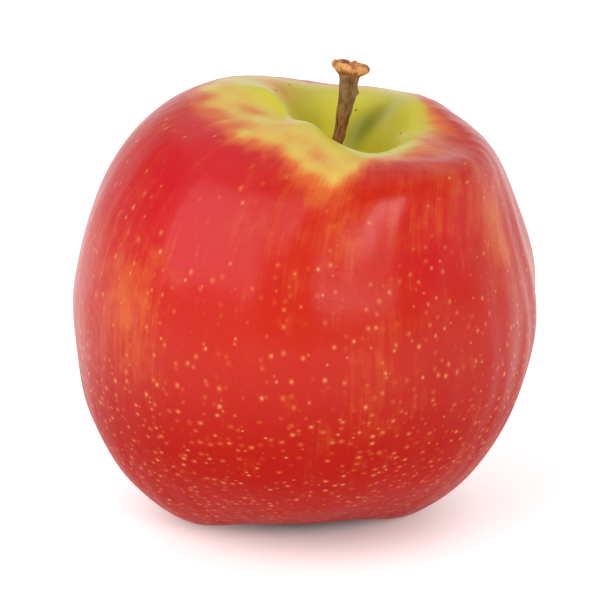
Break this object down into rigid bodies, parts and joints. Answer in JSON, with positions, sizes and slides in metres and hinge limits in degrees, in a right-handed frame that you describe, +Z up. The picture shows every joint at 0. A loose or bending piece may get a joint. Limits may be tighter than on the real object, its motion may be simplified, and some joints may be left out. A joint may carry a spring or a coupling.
{
  "type": "apple",
  "caption": "Whole fresh apple with a stem in its cavity and dried sepals underneath, resting on its feet as table food or a display piece.",
  "frame": {"origin": "on the resting plane, under the middle of the apple's outline seen from above", "axes": "+Z up from the feet to the stem, +X to the right seen from the front, +Y away from the front"},
  "size_m": [0.079, 0.0795, 0.0801],
  "materials": {
    "skin": "waxy semi-gloss, red over yellow",
    "stem_bark": "rough, fibrous",
    "dry_leaf": "matt, dry",
    "dry_thread": "matt, dry"
  },
  "bodies": {
    "root": {"fruit": "skin", "stem": "stem_bark", "sepal_1": "dry_leaf", "sepal_2": "dry_leaf", "sepal_3": "dry_leaf", "sepal_4": "dry_leaf", "sepal_5": "dry_leaf", "dried_stamens": "dry_thread"}
  },
  "joints": []
}
